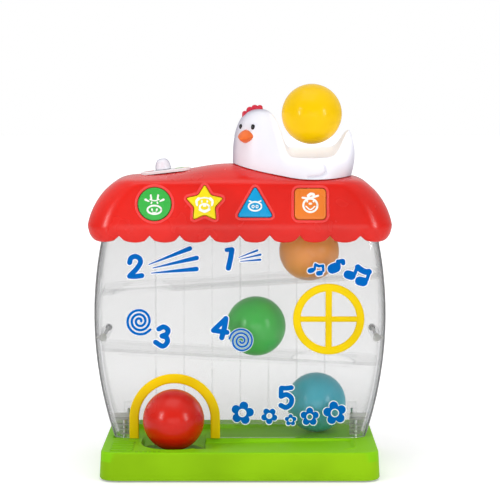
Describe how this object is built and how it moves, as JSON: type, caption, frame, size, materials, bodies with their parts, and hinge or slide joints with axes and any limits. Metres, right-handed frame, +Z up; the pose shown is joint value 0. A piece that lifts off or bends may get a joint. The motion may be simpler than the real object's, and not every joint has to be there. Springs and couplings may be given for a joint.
{
  "type": "toy barn",
  "caption": "Ball-drop toy barn: a clear housing with sloping ball channels on a green base, under a red roof with push buttons, a slide switch and a hen whose back takes the balls.",
  "frame": {"origin": "on the ground, at the centre of the base under its feet", "axes": "+Z up, -Y towards the side with the ball door and the buttons, +X to the right seen from there"},
  "size_m": [0.2498, 0.1368, 0.3163],
  "materials": {
    "green_plastic": "glossy lime green",
    "grey_plastic": "matte grey",
    "grey_rubber": "matte dark grey",
    "screw_steel": "zinc plated",
    "clear_plastic": "clear, polished",
    "yellow_plastic": "glossy yellow",
    "red_plastic": "glossy orange red",
    "white_plastic": "satin white",
    "crimson_plastic": "satin crimson",
    "orange_plastic": "glossy orange",
    "black_plastic": "glossy black",
    "leaf_green_plastic": "glossy leaf green",
    "blue_plastic": "glossy blue",
    "board_green": "green board"
  },
  "bodies": {
    "barn": {"ball_chute": "white_plastic", "base_cover": "grey_plastic", "base_screw_left": "screw_steel", "base_screw_right": "screw_steel", "base_tray": "green_plastic", "battery_box": "grey_plastic", "battery_bridge": "screw_steel", "battery_cell_lower": "screw_steel", "battery_cell_upper": "screw_steel", "board_screw_left": "screw_steel", "board_screw_right": "screw_steel", "circuit_board": "board_green", "door_arch": "yellow_plastic", "hen_beak": "orange_plastic", "hen_body": "white_plastic", "hen_comb": "crimson_plastic", "hen_eye_left": "black_plastic", "hen_eye_right": "black_plastic", "housing_back": "clear_plastic", "housing_front": "clear_plastic", "housing_screw_back_left": "screw_steel", "housing_screw_back_right": "screw_steel", "housing_screw_front_left": "screw_steel", "housing_screw_front_right": "screw_steel", "ramp_middle": "clear_plastic", "ramp_upper": "clear_plastic", "roof_back": "red_plastic", "roof_floor": "white_plastic", "roof_floor_screw_back_right": "screw_steel", "roof_floor_screw_front_left": "screw_steel", "roof_front": "red_plastic", "roof_screw_left": "screw_steel", "roof_screw_right": "screw_steel", "rubber_foot_back_left": "grey_rubber", "rubber_foot_back_right": "grey_rubber", "rubber_foot_front_left": "grey_rubber", "rubber_foot_front_right": "grey_rubber", "rubber_keypad": "grey_rubber", "side_screw_left": "screw_steel", "side_screw_right": "screw_steel", "slide_switch": "black_plastic", "speaker": "black_plastic", "switch_plate": "white_plastic", "trigger_pin": "screw_steel", "trigger_switch": "black_plastic", "window_frame": "yellow_plastic"},
    "circle_button": {"button_circle": "leaf_green_plastic"},
    "star_button": {"button_star": "yellow_plastic"},
    "triangle_button": {"button_triangle": "blue_plastic"},
    "square_button": {"button_square": "orange_plastic"},
    "knob": {"switch_knob": "white_plastic"},
    "lever": {"trigger_lever": "grey_plastic"},
    "door": {"battery_door": "red_plastic", "battery_door_screw": "screw_steel"},
    "yellow_ball": {"ball_yellow": "yellow_plastic"},
    "orange_ball": {"ball_orange": "orange_plastic"},
    "green_ball": {"ball_green": "leaf_green_plastic"},
    "blue_ball": {"ball_blue": "blue_plastic"},
    "red_ball": {"ball_red": "red_plastic"}
  },
  "joints": [
    {"name": "circle_button_press", "type": "slide", "parent": "barn", "child": "circle_button", "axis": [0, 0.9848, -0.1736], "range_m": [0, 0.0025], "stiffness_N_per_m": 400},
    {"name": "star_button_press", "type": "slide", "parent": "barn", "child": "star_button", "axis": [0, 0.9848, -0.1736], "range_m": [0, 0.0025], "stiffness_N_per_m": 400},
    {"name": "triangle_button_press", "type": "slide", "parent": "barn", "child": "triangle_button", "axis": [0, 0.9848, -0.1736], "range_m": [0, 0.0025], "stiffness_N_per_m": 400},
    {"name": "square_button_press", "type": "slide", "parent": "barn", "child": "square_button", "axis": [0, 0.9848, -0.1736], "range_m": [0, 0.0025], "stiffness_N_per_m": 400},
    {"name": "switch_slide", "type": "slide", "parent": "barn", "child": "knob", "axis": [0.9935, 0, 0.1135], "range_m": [-0.002, 0.006]},
    {"name": "trigger_swing", "type": "hinge", "parent": "barn", "child": "lever", "pos_m": [0.0596, 0.0505, 0.232], "axis": [1, 0, 0], "range_deg": [0, 12], "stiffness_Nm_per_rad": 0.002},
    {"name": "battery_door_hinge", "type": "hinge", "parent": "barn", "child": "door", "pos_m": [-0.014, 0.0663, 0.2082], "axis": [-1, 0, 0], "range_deg": [0, 75]},
    {"name": "yellow_ball_drop", "type": "slide", "parent": "barn", "child": "yellow_ball", "axis": [0, 0, 1], "range_m": [-0.0625, 0.06]},
    {"name": "orange_ball_roll", "type": "slide", "parent": "barn", "child": "orange_ball", "axis": [-0.9981, 0, -0.0611], "range_m": [0, 0.11]},
    {"name": "green_ball_roll", "type": "slide", "parent": "barn", "child": "green_ball", "axis": [0.9986, 0, -0.0536], "range_m": [-0.085, 0.03]},
    {"name": "blue_ball_roll", "type": "slide", "parent": "barn", "child": "blue_ball", "axis": [-0.9994, 0, -0.034], "range_m": [0, 0.09]},
    {"name": "red_ball_lift", "type": "slide", "parent": "barn", "child": "red_ball", "axis": [0, -0.7071, 0.7071], "range_m": [0, 0.08]}
  ]
}
